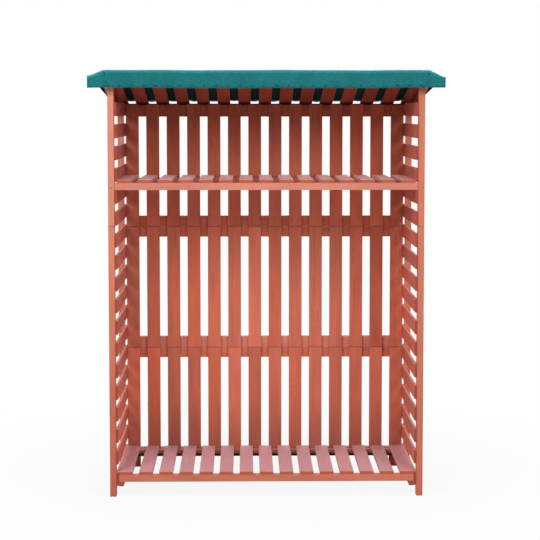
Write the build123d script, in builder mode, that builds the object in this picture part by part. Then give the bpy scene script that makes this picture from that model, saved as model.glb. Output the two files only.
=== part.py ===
from build123d import *
import math
import os

os.makedirs("parts", exist_ok=True)

# Overall body, without the roof's overhangs
body_width = 1260.0
body_depth = 540.0
rear_height = 1572.0
roof_slope = 11.5

# Timber sections
post_width = 25.0
post_depth = 40.0
post_edge_radius = 2.0
rail_height = 28.0
rail_depth = 28.0
rail_edge_radius = 1.5
slat_width = 55.0
slat_thickness = 12.0
side_slat_thickness = 10.0
slat_edge = 1.0

# Side walls: a lower and an upper frame stacked at one joint
side_joint_height = 1091.0
lower_side_slats = 12
lower_side_start = 44.0
lower_side_end_gap = 29.5
upper_side_slats = 6
upper_side_start = 3.0
top_slat_rise = 11.5

# Back wall: three stacked panels, slats inside and rails behind
back_slats = 14
middle_panel_bottom = 531.0
upper_panel_bottom = 1054.0
lower_panel_bottom = 57.0
back_foot_clearance = 8.0
joint_rail_height = 45.0
top_rail_height = 53.0
bottom_rail_height = 33.0
panel_clearance = 0.5

# Floor and shelf decks
deck_slats = 15
floor_height = 100.0
floor_bearer_width = 20.0
floor_bearer_height = 18.0
shelf_height = 1276.0
shelf_bearer_width = 20.0
shelf_rail_clearance = 1.0

# Roof panel
roof_slats_count = 15
roof_slat_width = 53.0
roof_front_overhang = 40.0
roof_batten_height = 28.0
roof_rear_overhang = 28.0
fascia_height = 52.0
fascia_side_reach = 13.0

# Fabric cover, modelled thicker than the real cloth
cover_thickness = 3.0
cover_clearance = 0.3
cover_rear_stop = 32.0
valance_drop = 65.0
side_flap_drop = 60.0
wing_reach = 61.0
wing_top_fall = 23.0
wing_bottom_rise = 4.0

# Depth stations: the origin lies under the middle of the whole outline
cover_front_reach = roof_front_overhang + cover_clearance + cover_thickness
front_y = -(cover_front_reach + body_depth + roof_rear_overhang) / 2 + cover_front_reach
rear_y = front_y + body_depth
back_slat_y = rear_y - rail_depth - slat_thickness
back_rail_y = rear_y - rail_depth

# Width stations
post_inner_x = body_width / 2 - post_width
wall_inner_x = post_inner_x - side_slat_thickness
panel_width = 2 * (wall_inner_x - panel_clearance)
back_pitch = (panel_width - slat_width) / (back_slats - 1)
deck_pitch = (panel_width - slat_width) / (deck_slats - 1)
roof_width = back_pitch * (roof_slats_count - 1) + roof_slat_width
fascia_length = body_width + 2 * fascia_side_reach

# Height stations
floor_rail_low = floor_height - slat_thickness - rail_height
shelf_rail_low = shelf_height - slat_thickness - rail_height
lower_ladder = (lower_side_start, side_joint_height - lower_side_end_gap)
upper_ladder = (side_joint_height + upper_side_start, rear_height + top_slat_rise)

# Roof lines
slope_rise = math.tan(math.radians(roof_slope))
plumb_thickness = slat_thickness / math.cos(math.radians(roof_slope))


def underside(y):
    """Height of the roof slats' lower face at depth y."""
    return rear_height + (rear_y - y) * slope_rise


def topside(y):
    """Height of the roof slats' upper face at depth y."""
    return underside(y) + plumb_thickness


def roof_plane(height):
    """Plane parallel to the roof, at the given height over the rear posts."""
    return Plane(
        origin=(0, rear_y, height), x_dir=(1, 0, 0), z_dir=(0, slope_rise, 1)
    )


roof_underside = roof_plane(rear_height)
roof_topside = roof_plane(rear_height + plumb_thickness)


def save(piece, name):
    """Label a finished piece and write it to its own STEP file."""
    piece.part.label = name
    export_step(piece.part, f"parts/{name}.step")


def make_post(name, x, y, low, high, under_roof):
    """One length of post with eased corners, its top plumb to the roof if it carries it."""
    with BuildPart() as post:
        with Locations((x, y, low)):
            Box(post_width, post_depth, high - low, align=(Align.CENTER, Align.MIN, Align.MIN))
        fillet(post.edges().filter_by(Axis.Z), post_edge_radius)
        if under_roof:
            split(bisect_by=roof_underside, keep=Keep.BOTTOM)
    save(post, name)


def make_side_slats(name, side, low, high, count):
    """A ladder of level slats on the inner faces of one side's posts."""
    x = side * (post_inner_x - side_slat_thickness / 2)
    pitch = (high - low - slat_width) / (count - 1)
    with BuildPart() as slats:
        with Locations([(x, front_y, low + i * pitch) for i in range(count)]):
            Box(
                side_slat_thickness,
                body_depth,
                slat_width,
                align=(Align.CENTER, Align.MIN, Align.MIN),
            )
        chamfer(slats.edges().filter_by(Axis.Y), slat_edge)
        # room for the end of the shelf's front rail, which reaches the posts
        with Locations((x, front_y, shelf_rail_low - shelf_rail_clearance)):
            Box(
                side_slat_thickness,
                rail_depth + shelf_rail_clearance,
                rail_height + 2 * shelf_rail_clearance,
                align=(Align.CENTER, Align.MIN, Align.MIN),
                mode=Mode.SUBTRACT,
            )
        split(bisect_by=roof_underside, keep=Keep.BOTTOM)
    save(slats, name)


def make_back_slats(name, low, high, outer_low):
    """Upright slats of one back panel; the two outer ones may reach further down."""
    with BuildPart() as slats:
        for i in range(back_slats):
            x = (i - (back_slats - 1) / 2) * back_pitch
            bottom = outer_low if i in (0, back_slats - 1) else low
            with Locations((x, back_slat_y, bottom)):
                Box(
                    slat_width,
                    slat_thickness,
                    high - bottom,
                    align=(Align.CENTER, Align.MIN, Align.MIN),
                )
        chamfer(slats.edges().filter_by(Axis.Z), slat_edge)
        split(bisect_by=roof_underside, keep=Keep.BOTTOM)
    save(slats, name)


def make_cross_rail(name, length, y, low, height, under_roof=False):
    """A rail that runs from side to side, with eased long edges."""
    with BuildPart() as rail:
        with Locations((0, y, low)):
            Box(length, rail_depth, height, align=(Align.CENTER, Align.MIN, Align.MIN))
        fillet(rail.edges().filter_by(Axis.X), rail_edge_radius)
        if under_roof:
            split(bisect_by=roof_underside, keep=Keep.BOTTOM)
    save(rail, name)


def make_bearer(name, side, width, y, length, low, height):
    """A batten that runs from front to back along one side wall."""
    x = side * (wall_inner_x - width / 2)
    with BuildPart() as bearer:
        with Locations((x, y, low)):
            Box(width, length, height, align=(Align.CENTER, Align.MIN, Align.MIN))
        fillet(bearer.edges().filter_by(Axis.Y), rail_edge_radius)
    save(bearer, name)


def make_deck(name, top):
    """Slats laid from front to back, their front ends flush with the posts."""
    with BuildPart() as deck:
        with Locations((0, front_y, top - slat_thickness)):
            with GridLocations(deck_pitch, 1, deck_slats, 1):
                Box(
                    slat_width,
                    back_slat_y - front_y,
                    slat_thickness,
                    align=(Align.CENTER, Align.MIN, Align.MIN),
                )
        chamfer(deck.edges().filter_by(Axis.Y), slat_edge)
    save(deck, name)


# Posts: four corners, each in two lengths
post_x = body_width / 2 - post_width / 2
corners = (("front", front_y), ("rear", rear_y - post_depth))
for side_name, side in (("left", -1), ("right", 1)):
    for corner_name, y in corners:
        stem = f"{side_name}_{corner_name}_post"
        make_post(f"{stem}_lower", side * post_x, y, 0.0, side_joint_height, False)
        make_post(f"{stem}_upper", side * post_x, y, side_joint_height, underside(front_y), True)

# Side walls
for side_name, side in (("left", -1), ("right", 1)):
    make_side_slats(f"{side_name}_side_slats_lower", side, *lower_ladder, lower_side_slats)
    make_side_slats(f"{side_name}_side_slats_upper", side, *upper_ladder, upper_side_slats)

# Back panels
back_top = underside(back_slat_y)
make_back_slats(
    "back_slats_lower", lower_panel_bottom, middle_panel_bottom, back_foot_clearance
)
make_back_slats(
    "back_slats_middle", middle_panel_bottom, upper_panel_bottom, middle_panel_bottom
)
make_back_slats("back_slats_upper", upper_panel_bottom, back_top, upper_panel_bottom)
back_rails = (
    ("back_rail_lower_bottom", lower_panel_bottom, bottom_rail_height),
    ("back_rail_lower_top", middle_panel_bottom - joint_rail_height, joint_rail_height),
    ("back_rail_middle_bottom", middle_panel_bottom, joint_rail_height),
    ("back_rail_middle_top", upper_panel_bottom - joint_rail_height, joint_rail_height),
    ("back_rail_upper_bottom", upper_panel_bottom, joint_rail_height),
)
for rail_name, low, height in back_rails:
    make_cross_rail(rail_name, panel_width, back_rail_y, low, height)
top_rail_top = underside(back_rail_y)
make_cross_rail(
    "back_rail_upper_top",
    panel_width,
    back_rail_y,
    top_rail_top - top_rail_height,
    top_rail_height,
    under_roof=True,
)

# Floor deck on two bearers
make_deck("floor_slats", floor_height)
make_cross_rail("floor_front_rail", panel_width, front_y, floor_rail_low, rail_height)
make_cross_rail(
    "floor_rear_rail", panel_width, back_slat_y - rail_depth, floor_rail_low, rail_height
)
for side_name, side in (("left", -1), ("right", 1)):
    make_bearer(
        f"{side_name}_floor_bearer",
        side,
        floor_bearer_width,
        front_y,
        back_slat_y - front_y,
        floor_rail_low - floor_bearer_height,
        floor_bearer_height,
    )

# Shelf deck: its front rail reaches from post to post
make_deck("shelf_slats", shelf_height)
make_cross_rail("shelf_front_rail", 2 * post_inner_x, front_y, shelf_rail_low, rail_height)
make_cross_rail(
    "shelf_rear_rail", panel_width, back_slat_y - rail_depth, shelf_rail_low, rail_height
)
for side_name, side in (("left", -1), ("right", 1)):
    make_bearer(
        f"{side_name}_shelf_bearer",
        side,
        shelf_bearer_width,
        front_y + rail_depth,
        back_slat_y - front_y - 2 * rail_depth,
        shelf_rail_low,
        rail_height,
    )

# Roof slats: plumb-cut at both ends
roof_front_y = front_y - roof_front_overhang + slat_thickness
roof_rear_y = rear_y + roof_rear_overhang
with BuildPart() as roof_slats:
    for i in range(roof_slats_count):
        x = (i - (roof_slats_count - 1) / 2) * back_pitch
        with BuildSketch(Plane.YZ.offset(x)):
            with BuildLine():
                Polyline(
                    (roof_front_y, underside(roof_front_y)),
                    (roof_rear_y, underside(roof_rear_y)),
                    (roof_rear_y, topside(roof_rear_y)),
                    (roof_front_y, topside(roof_front_y)),
                    close=True,
                )
            make_face()
        extrude(amount=roof_slat_width / 2, both=True)
save(roof_slats, "roof_slats")


def make_roof_batten(name, y):
    """A batten under the roof slats, its top planed to their slope."""
    with BuildPart() as batten:
        with Locations((0, y, underside(y + rail_depth) - roof_batten_height)):
            Box(
                roof_width,
                rail_depth,
                2 * roof_batten_height,
                align=(Align.CENTER, Align.MIN, Align.MIN),
            )
        split(bisect_by=roof_underside, keep=Keep.BOTTOM)
    save(batten, name)


make_roof_batten("roof_front_batten", roof_front_y)
make_roof_batten("roof_rear_batten", rear_y)

# Fascia across the front ends of the slats
fascia_y = roof_front_y - slat_thickness
fascia_low = topside(roof_front_y) - fascia_height
with BuildPart() as fascia:
    with Locations((0, fascia_y, fascia_low)):
        Box(
            fascia_length,
            slat_thickness,
            2 * fascia_height,
            align=(Align.CENTER, Align.MIN, Align.MIN),
        )
    split(bisect_by=roof_topside, keep=Keep.BOTTOM)
save(fascia, "roof_fascia")

# Fabric cover: sloping top, side flaps and a front valance with a wing at each corner
cover_rear_y = rear_y - cover_rear_stop
cover_back_y = fascia_y - cover_clearance
cover_front_y = cover_back_y - cover_thickness
cover_inner_x = fascia_length / 2 + cover_clearance
cover_outer_x = cover_inner_x + cover_thickness


def cover_low(y):
    """Height of the cover's lower face over the roof at depth y."""
    return topside(y) + cover_clearance


def cover_high(y):
    """Height of the cover's upper face at depth y."""
    return cover_low(y) + cover_thickness


valance_top = cover_high(cover_front_y)
valance_bottom = valance_top - valance_drop
with BuildPart() as roof_cover:
    # sloping top
    with BuildSketch(Plane.YZ):
        with BuildLine():
            Polyline(
                (cover_front_y, cover_low(cover_front_y)),
                (cover_rear_y, cover_low(cover_rear_y)),
                (cover_rear_y, cover_high(cover_rear_y)),
                (cover_front_y, valance_top),
                close=True,
            )
        make_face()
    extrude(amount=cover_outer_x, both=True)
    # side flaps, parallel to the slope
    for side in (-1, 1):
        with BuildSketch(Plane.YZ.offset(side * cover_inner_x)):
            with BuildLine():
                Polyline(
                    (cover_front_y, valance_bottom),
                    (cover_rear_y, cover_high(cover_rear_y) - side_flap_drop),
                    (cover_rear_y, cover_high(cover_rear_y)),
                    (cover_front_y, valance_top),
                    close=True,
                )
            make_face()
        extrude(amount=side * cover_thickness)
    # front valance with the spare cloth of each corner folded out as a wing
    with BuildSketch(Plane.XZ.offset(-cover_back_y)):
        with BuildLine():
            Polyline(
                (0, valance_top),
                (cover_outer_x, valance_top),
                (cover_outer_x + wing_reach, valance_top - wing_top_fall),
                (cover_outer_x + wing_reach, valance_bottom + wing_bottom_rise),
                (cover_outer_x, valance_bottom),
                (0, valance_bottom),
                close=True,
            )
        make_face()
        mirror(about=Plane.YZ)
    extrude(amount=cover_thickness)
    # the valance's top edge follows the roof's slope
    split(bisect_by=roof_plane(cover_high(rear_y)), keep=Keep.BOTTOM)
save(roof_cover, "roof_cover")
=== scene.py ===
import logging
import math
from collections.abc import Callable
from dataclasses import dataclass, replace
from enum import IntEnum
from functools import cached_property
from typing import Any

import bmesh
import bpy
from bmesh.types import BMesh, BMFace, BMVert
from bpy.types import Material, Node, NodeOutputs, NodeSocket, NodeTree, Object
from mathutils import Matrix, Vector

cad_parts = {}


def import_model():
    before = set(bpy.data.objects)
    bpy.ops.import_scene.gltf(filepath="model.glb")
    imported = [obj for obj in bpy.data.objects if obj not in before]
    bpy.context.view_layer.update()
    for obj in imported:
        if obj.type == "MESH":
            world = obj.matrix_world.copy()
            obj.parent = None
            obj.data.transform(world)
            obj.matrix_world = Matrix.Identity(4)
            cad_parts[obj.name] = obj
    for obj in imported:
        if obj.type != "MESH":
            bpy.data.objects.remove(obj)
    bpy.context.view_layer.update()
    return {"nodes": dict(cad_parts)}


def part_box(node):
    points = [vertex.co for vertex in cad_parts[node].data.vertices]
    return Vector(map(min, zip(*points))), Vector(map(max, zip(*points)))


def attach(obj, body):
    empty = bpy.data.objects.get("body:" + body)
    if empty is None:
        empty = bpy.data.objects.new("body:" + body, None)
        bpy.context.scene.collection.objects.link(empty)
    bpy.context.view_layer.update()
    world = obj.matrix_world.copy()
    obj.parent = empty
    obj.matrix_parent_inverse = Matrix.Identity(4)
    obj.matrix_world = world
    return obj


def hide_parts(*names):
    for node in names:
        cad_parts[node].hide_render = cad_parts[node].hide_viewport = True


LOG = logging.getLogger("log_store")
MM = 0.001
Pair = tuple[float, float]
Triple = tuple[float, float, float]

# Sizes shared with the solids, in metres
ROOF_SLOPE = math.radians(11.5)
SLOPE_RISE = math.tan(ROOF_SLOPE)
REAR_HEIGHT = 1572 * MM
REAR_Y = 277.65 * MM
FRONT_Y = -262.35 * MM
BODY_HALF_WIDTH = 630 * MM
BACK_SLAT_Y = 237.65 * MM
SLAT_WIDTH = 55 * MM
ROOF_SLAT_WIDTH = 53 * MM
ROOF_SLAT_THICKNESS = 12 * MM

# Slats in each panel of the back wall, the decks, the roof, and the side walls with their spacing
BACK_SLATS = 14
DECK_SLATS = 15
ROOF_SLATS = 15
SIDE_SLATS = {"lower": (12, 87.5 * MM), "upper": (6, 86.9 * MM)}

# Spacing in metres that keeps a single board alone, and ends that lie beyond any board
LONE_BOARD = 10.0
NO_ENDS = (-2.0, 2.0)

# Spacing of a Wave Texture's waves at a scale of 1, and the range that most of a noise lies in
WAVE_SPACING = 0.31416
NOISE_RANGE = (0.25, 0.75)
SMOOTH = {"interpolation_type": "SMOOTHSTEP"}


def linear(hex_colour: str) -> tuple[float, float, float, float]:
    """Turn an sRGB hex colour into the linear colour that a shader socket takes.

    Args:
        hex_colour: Six hex digits, such as "b5651d".

    Returns:
        Red, green and blue, linear, and an alpha of 1.
    """
    parts = [int(hex_colour[i : i + 2], 16) / 255 for i in (0, 2, 4)]
    red, green, blue = (c / 12.92 if c <= 0.04045 else ((c + 0.055) / 1.055) ** 2.4 for c in parts)
    return red, green, blue, 1.0


def add(
    tree: NodeTree, kind: str, *values: Any, sockets: dict[str, Any] | None = None, **settings: Any
) -> Node:
    """Add one shader node with its settings, values and links.

    Args:
        tree: The node tree it goes into.
        kind: The node's type without its first word, ShaderNode, and after a dot its operation.
        *values: What the inputs in use take, in order: a value, an output, or a node for its first output.
        sockets: The same for inputs by name.
        **settings: The node's own properties.

    Returns:
        The new node.
    """
    name, _, operation = kind.partition(".")
    node = tree.nodes.new(f"ShaderNode{name}")
    if operation:
        node.operation = operation
    for key, value in settings.items():
        setattr(node, key, value)
    taken = list(zip([socket for socket in node.inputs if socket.enabled], values))
    taken += [(node.inputs[key], value) for key, value in (sockets or {}).items()]
    for socket, value in taken:
        if isinstance(value, Node):
            value = next(output for output in value.outputs if output.enabled)
        if isinstance(value, NodeSocket):
            tree.links.new(value, socket)
        else:
            socket.default_value = value
    return node


def set_ramp(node: Node, stops: list[tuple[float, str]]) -> None:
    """Give a Color Ramp its stops.

    Args:
        node: The Color Ramp node.
        stops: Position and sRGB hex colour of each stop, in rising order.
    """
    elements = node.color_ramp.elements
    while len(elements) < len(stops):
        elements.new(0.5)
    for element, (position, colour) in zip(elements, stops):
        element.position = position
        element.color = linear(colour)


class Finish:
    """A surface finish, which is one layered shader."""

    def material(self, name: str, *details: Any) -> Material:
        """Build the finish.

        Args:
            name: The material's name.
            *details: What else the finish needs for its nodes.

        Returns:
            The material.
        """
        material = bpy.data.materials.new(name)
        material.use_nodes = True
        tree = material.node_tree
        tree.nodes.clear()
        shader = add(tree, "BsdfPrincipled", sockets=self.surface(tree, *details))
        add(tree, "OutputMaterial", shader)
        return material

    def surface(self, tree: NodeTree, *details: Any) -> dict[str, Any]:
        """Add the finish's nodes to a tree, and list the shader's sockets."""
        raise NotImplementedError


class Axis(IntEnum):
    """An axis of the object, as its number."""

    X = 0
    Y = 1
    Z = 2


@dataclass(frozen=True)
class PaintedShadePlane:
    """A plane beside which the timber is darkened with painted shade, where the parts near it block the
    light.
    """

    normal: Triple
    offset: float  # its distance from the origin along the normal
    reach: float  # how far the dark reaches from the plane
    full_at: float = 0.55  # share of the reach at which the dark is full
    strength: float = 0.93  # how dark it gets, from 0 to 1
    colour: str = "240b08"
    below_only: bool = False  # whether only faces that look down are dark


# painted shade along the tops of the back and side walls, where they meet the roof slats
UNDER_ROOF_SHADE = PaintedShadePlane(
    normal=(0.0, math.sin(ROOF_SLOPE), math.cos(ROOF_SLOPE)),
    offset=REAR_Y * math.sin(ROOF_SLOPE) + REAR_HEIGHT * math.cos(ROOF_SLOPE),
    reach=5 * MM,
)
# painted shade along the bottom of the floor's rear rail
UNDER_FLOOR_SHADE = PaintedShadePlane(normal=(0.0, 0.0, 1.0), offset=60 * MM, reach=15 * MM)
# painted shade, darker towards the bottom of the back wall's lower slats above the floor
WALL_FOOT_SHADE = PaintedShadePlane(
    normal=(0.0, 0.0, 1.0), offset=100 * MM, reach=200 * MM, full_at=0.1, strength=0.34, colour="4a4440"
)
# painted shade on the roof slats' undersides, over the last 40 mm in front of the back wall
OVER_BACK_WALL_SHADE = PaintedShadePlane(normal=(0.0, 1.0, 0.0), offset=BACK_SLAT_Y, reach=40 * MM, below_only=True)
# the solids that carry each band of painted shade
PAINTED_SHADE_PLANES = {
    "back_slats_upper": UNDER_ROOF_SHADE,
    "back_rail_upper_top": UNDER_ROOF_SHADE,
    "left_side_slats_upper": UNDER_ROOF_SHADE,
    "right_side_slats_upper": UNDER_ROOF_SHADE,
    "floor_rear_rail": UNDER_FLOOR_SHADE,
    "back_slats_lower": WALL_FOOT_SHADE,
    "roof_slats": OVER_BACK_WALL_SHADE,
}


@dataclass(frozen=True)
class BoardLayout:
    """Where the boards of one solid lie, so that a pattern can follow each board."""

    grain: Axis  # the axis that the boards run along
    across: Axis  # the axis that they are wide along, and spaced along if several
    first: float  # middle of the first board on the across axis
    pitch: float  # spacing of the boards in metres, or a long one for a single board
    width: float
    middle: float  # middle of the thickness, on the third axis
    thickness: float
    ends: Pair  # where the boards begin and end on the grain axis
    turn: float = 0.0  # turn about X that lays a sloping board level, in radians
    contact: PaintedShadePlane | None = None  # plane beside which the boards carry painted shade, if any

    @property
    def third(self) -> Axis:
        """The axis that the boards are thin along."""
        return Axis(3 - self.grain - self.across)

    def middles(self, count: int) -> list[float]:
        """Middle of each of the first boards on the across axis, in metres."""
        return [self.first + index * self.pitch for index in range(count)]

    @classmethod
    def of_node(
        cls,
        node: str,
        grain: Axis,
        across: Axis,
        count: int = 1,
        pitch: float | None = None,
        width: float = SLAT_WIDTH,
    ) -> "BoardLayout":
        """Read the layout from the solid's box.

        Args:
            node: Name of the solid.
            grain: The axis that its boards run along.
            across: The axis that they are wide along.
            count: How many boards it holds.
            pitch: Their spacing in metres, where the box doesn't give it.
            width: Width of one board in metres, where it holds several.

        Returns:
            The layout.
        """
        low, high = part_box(node)
        third = 3 - grain - across
        if count == 1:
            width = high[across] - low[across]
            pitch = LONE_BOARD
        elif pitch is None:
            pitch = (high[across] - low[across] - width) / (count - 1)
        return cls(
            grain=grain,
            across=across,
            first=low[across] + width / 2,
            pitch=pitch,
            width=width,
            middle=(low[third] + high[third]) / 2,
            thickness=high[third] - low[third],
            ends=(low[grain], high[grain]),
            contact=PAINTED_SHADE_PLANES.get(node),
        )


@dataclass(frozen=True)
class StainedSoftwood(Finish):
    """Planed fir, dipped in a thin orange-red water-based stain that lets the grain show."""

    early: str = "c6674e"  # colour of the soft, open wood of each ring, which drinks the stain
    late: str = "a94f38"  # colour of the hard line that closes each ring
    top_painted_light: str = "df8b70"  # early wood's colour at the height of the roof, which is painted light and shade: lighter or darker there by how the light falls
    top_painted_light_height: float = 1.6  # height at which that painted colour is full
    end_grain: str = "9c4a34"  # colour of the sawn ends, which take the most stain
    worn: str = "e5997a"  # colour of the arrises, where sanding and handling thin the stain
    arris: float = 2.4 * MM  # width of the worn arris
    rubbed: Pair = (0.15, 0.7)  # least and greatest share of that wear
    ring: float = 2.8 * MM
    contrast: float = 0.36  # how strongly the rings show, from 0 to 1
    # range of the tree's heart from the board's middle across, in metres
    heart_wide: Pair = (-45 * MM, 45 * MM)
    heart_deep: Pair = (14 * MM, 74 * MM)  # range of the heart from the board's middle in depth
    knot: str = "7c3622"
    # length and width of the timber that has one knot at most, in metres
    knot_cell: Pair = (420 * MM, 110 * MM)
    knot_radius: float = 8 * MM  # radius of the largest knot
    knot_reach: float = 45 * MM  # distance from a knot within which the rings bend round it
    knot_push: float = 9 * MM  # how far they bend
    fibre: Pair = (1 / 9, 1 / 330)  # length and width of a fibre in metres, drawn 3 mm wide so that it shows
    blotch: Pair = (1 / 4, 1 / 22)  # length and width of the stain's blotches
    fibre_levels: Pair = (0.93, 1.07)  # darkest and lightest level of the fibres
    blotch_levels: Pair = (0.88, 1.12)  # darkest and lightest level of the blotches
    board_levels: Pair = (0.86, 1.13)  # darkest and lightest level of whole boards
    # redder and greyer cast of whole boards
    hues: tuple[tuple[float, ...], tuple[float, ...]] = ((1.0, 0.93, 0.86, 1.0), (1.0, 1.08, 1.15, 1.0))
    # where the painted shade in the joint at a board's end begins and is full, in metres from the end
    joint: Pair = (2.6 * MM, 0.6 * MM)
    joint_shade_strength: float = 0.6  # how dark that painted shade gets, from 0 to 1
    roughness: float = 0.58
    bloom: float = 0.1  # strength of the dry sheen that the stain shows at a low angle
    painted_top_sheen: float = 0.25  # strength of the painted sheen on faces that look up, from 0 to 1
    # colour of that painted sheen
    painted_sheen_colour: str = "f0b0a2"
    relief: float = 0.35  # strength of the raised grain

    def surface(self, tree: NodeTree, layout: BoardLayout, seed: float) -> dict[str, Any]:
        """Add the finish's nodes for the boards of one solid.

        Args:
            tree: The material's node tree.
            layout: How the solid's boards lie.
            seed: Number that sets its boards apart from those of the others.

        Returns:
            The shader's sockets.
        """
        nodes = TimberNodes(tree, self, layout, seed)
        grain = add(tree, "Math.MULTIPLY_ADD", nodes.ring, 0.6, nodes.fibres)
        low, high = self.roughness - 0.06, self.roughness + 0.06
        bump = {"Height": grain, "Strength": self.relief, "Distance": 0.3 * MM}
        return {
            "Base Color": nodes.colour(),
            "Roughness": add(tree, "MapRange", nodes.fibres, 0.3, 0.7, low, high),
            "Normal": add(tree, "Bump", sockets=bump),
            "IOR": 1.45,
            "Specular IOR Level": 0.3,
            "Sheen Weight": self.bloom,
            "Sheen Roughness": 0.5,
            "Sheen Tint": linear("ffd0d2"),
        }


@dataclass
class TimberNodes:
    """The nodes of one stained timber material. Each is added when it is first asked for."""

    tree: NodeTree
    finish: StainedSoftwood
    layout: BoardLayout
    seed: float  # sets these boards apart from those of the other solids

    @cached_property
    def source(self) -> Node:
        """The object's own coordinates."""
        return add(self.tree, "TexCoord")

    def level(self, kind: str) -> NodeOutputs:
        """Parts of the source's Object or Normal, turned so that the boards lie level."""
        turned = add(self.tree, "Mapping", self.source.outputs[kind], (0, 0, 0), (self.layout.turn, 0, 0))
        return add(self.tree, "SeparateXYZ", turned).outputs

    @cached_property
    def place(self) -> NodeOutputs:
        """Where the point lies."""
        return self.level("Object")

    @cached_property
    def facing(self) -> NodeOutputs:
        """Which way its face looks."""
        return self.level("Normal")

    @cached_property
    def board(self) -> Node:
        """Which board it lies on, from 0."""
        across, pitch = self.place[self.layout.across], self.layout.pitch
        steps = add(self.tree, "Math.MULTIPLY_ADD", across, 1 / pitch, -self.layout.first / pitch)
        return add(self.tree, "Math.ROUND", steps)

    @cached_property
    def wide(self) -> Node:
        """Distance from the middle of the board's width, in metres."""
        across = self.place[self.layout.across]
        shifted = add(self.tree, "Math.MULTIPLY_ADD", self.board, -self.layout.pitch, across)
        return add(self.tree, "Math.SUBTRACT", shifted, self.layout.first)

    @cached_property
    def thin(self) -> Node:
        """Distance from the middle of the board's thickness, in metres."""
        through = self.place[self.layout.third]
        return add(self.tree, "Math.SUBTRACT", through, self.layout.middle)

    @cached_property
    def number(self) -> Node:
        """The board's number among all boards."""
        return add(self.tree, "Math.ADD", self.board, self.seed)

    @cached_property
    def chance(self) -> Node:
        """A random value and a random colour for each board."""
        return add(self.tree, "TexWhiteNoise", self.number, noise_dimensions="1D")

    @cached_property
    def dice(self) -> NodeOutputs:
        """Three random numbers for each board."""
        return add(self.tree, "SeparateColor", self.chance.outputs["Color"]).outputs

    @cached_property
    def run(self) -> Node:
        """Place along the grain, which starts elsewhere on each board within 9 m of tree."""
        along = self.place[self.layout.grain]
        return add(self.tree, "Math.MULTIPLY_ADD", self.dice[2], 9.0, along)

    @cached_property
    def row(self) -> Node:
        """Place across the grain, with 3.7 m from board to board, so that no two look alike."""
        return add(self.tree, "Math.MULTIPLY_ADD", self.number, 3.7, self.wide)

    def along_grain(self, size: Pair, detail: float, roughness: float) -> Node:
        """Add noise that is drawn out along the grain.

        Args:
            size: Its length and width in metres.
            detail: Its detail.
            roughness: Its roughness.

        Returns:
            The noise.
        """
        per_metre = (1 / size[0], 1 / size[1], 1 / size[1])
        place = add(self.tree, "CombineXYZ", self.run, self.row, self.thin)
        scaled = add(self.tree, "VectorMath.MULTIPLY", place, per_metre)
        return add(self.tree, "TexNoise", scaled, 1.0, detail, roughness)

    @cached_property
    def fibres(self) -> Node:
        """Fine streaks along the grain."""
        return self.along_grain(self.finish.fibre, detail=3.0, roughness=0.6)

    @cached_property
    def blotches(self) -> Node:
        """Long soft patches, where the wood has taken more stain or less."""
        return self.along_grain(self.finish.blotch, detail=2.0, roughness=0.5)

    @cached_property
    def nearest_knot(self) -> tuple[Node, Node]:
        """Radius of the nearest knot, which is often none, and distance from it, in metres."""
        tree, (length, width) = self.tree, self.finish.knot_cell
        place = add(tree, "CombineXYZ", self.run, self.row)
        cell = add(tree, "VectorMath.MULTIPLY", place, (1 / length, 1 / width, 1.0))
        knots = add(tree, "TexVoronoi", cell, 1.0, voronoi_dimensions="2D")
        offset = add(tree, "VectorMath.SUBTRACT", cell, knots.outputs["Position"])
        # a knot that is cut at a slant is longer than it is wide
        offset = add(tree, "VectorMath.MULTIPLY", offset, (length * 0.7, width, 0.0))
        radius = add(tree, "MapRange", knots.outputs["Color"], 0.55, 1.0, 0.0, self.finish.knot_radius)
        return radius, add(tree, "VectorMath.LENGTH", offset)

    @cached_property
    def knot(self) -> Node:
        """How much of the point is knot, from 0 to 1."""
        radius, distance = self.nearest_knot
        return add(self.tree, "MapRange", distance, radius, 0.0, **SMOOTH)

    @cached_property
    def ring(self) -> Node:
        """Share of late wood, in rings about a heart outside the board that wander slowly along it."""
        finish, tree, from_heart = self.finish, self.tree, []
        for share, from_middle, (low, high) in (
            (self.dice[0], self.wide, finish.heart_wide), (self.dice[1], self.thin, finish.heart_deep)
        ):
            heart = add(tree, "Math.MULTIPLY_ADD", share, high - low, low)
            from_heart.append(add(tree, "Math.ADD", from_middle, heart))
        bend = (self.nearest_knot[1], finish.knot_reach, 0.0, 0.0, finish.knot_push)
        push = add(tree, "MapRange", *bend, interpolation_type="SMOOTHERSTEP")
        deep = add(tree, "Math.ADD", from_heart[1], push)
        slow = add(tree, "Math.MULTIPLY", self.run, 0.12)
        place = add(tree, "CombineXYZ", slow, from_heart[0], deep)
        style = {"wave_type": "RINGS", "rings_direction": "X", "wave_profile": "SAW"}
        rings = add(tree, "TexWave", place, WAVE_SPACING / finish.ring, 7.0, 2.0, 0.16, 0.45, **style)
        tone = (rings.outputs["Fac"], 0.35, 0.97, 0.0, finish.contrast)
        return add(tree, "MapRange", *tone, **SMOOTH)

    @cached_property
    def arris(self) -> Node:
        """How far the stain is worn: on the arrises alone, and unevenly along them."""
        tree, worn = self.tree, []
        for from_middle, size in ((self.wide, self.layout.width), (self.thin, self.layout.thickness)):
            away = add(tree, "Math.ABSOLUTE", from_middle)
            worn.append(add(tree, "MapRange", away, size / 2 - self.finish.arris, size / 2))
        both = add(tree, "Math.MULTIPLY", *worn)
        rubbed = add(tree, "MapRange", self.blotches, 0.4, 0.65, *self.finish.rubbed)
        return add(tree, "Math.MULTIPLY", both, rubbed)

    @cached_property
    def painted_top_sheen(self) -> Node:
        """Share of painted sheen at the point: on faces that look up, and unevenly in the grain."""
        up = (self.facing[2], 0.5, 0.95, 0.0, self.finish.painted_top_sheen)
        looks_up = add(self.tree, "MapRange", *up, **SMOOTH)
        uneven = add(self.tree, "MapRange", self.fibres, *NOISE_RANGE, 0.6, 1.4)
        return add(self.tree, "Math.MULTIPLY", looks_up, uneven)

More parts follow.
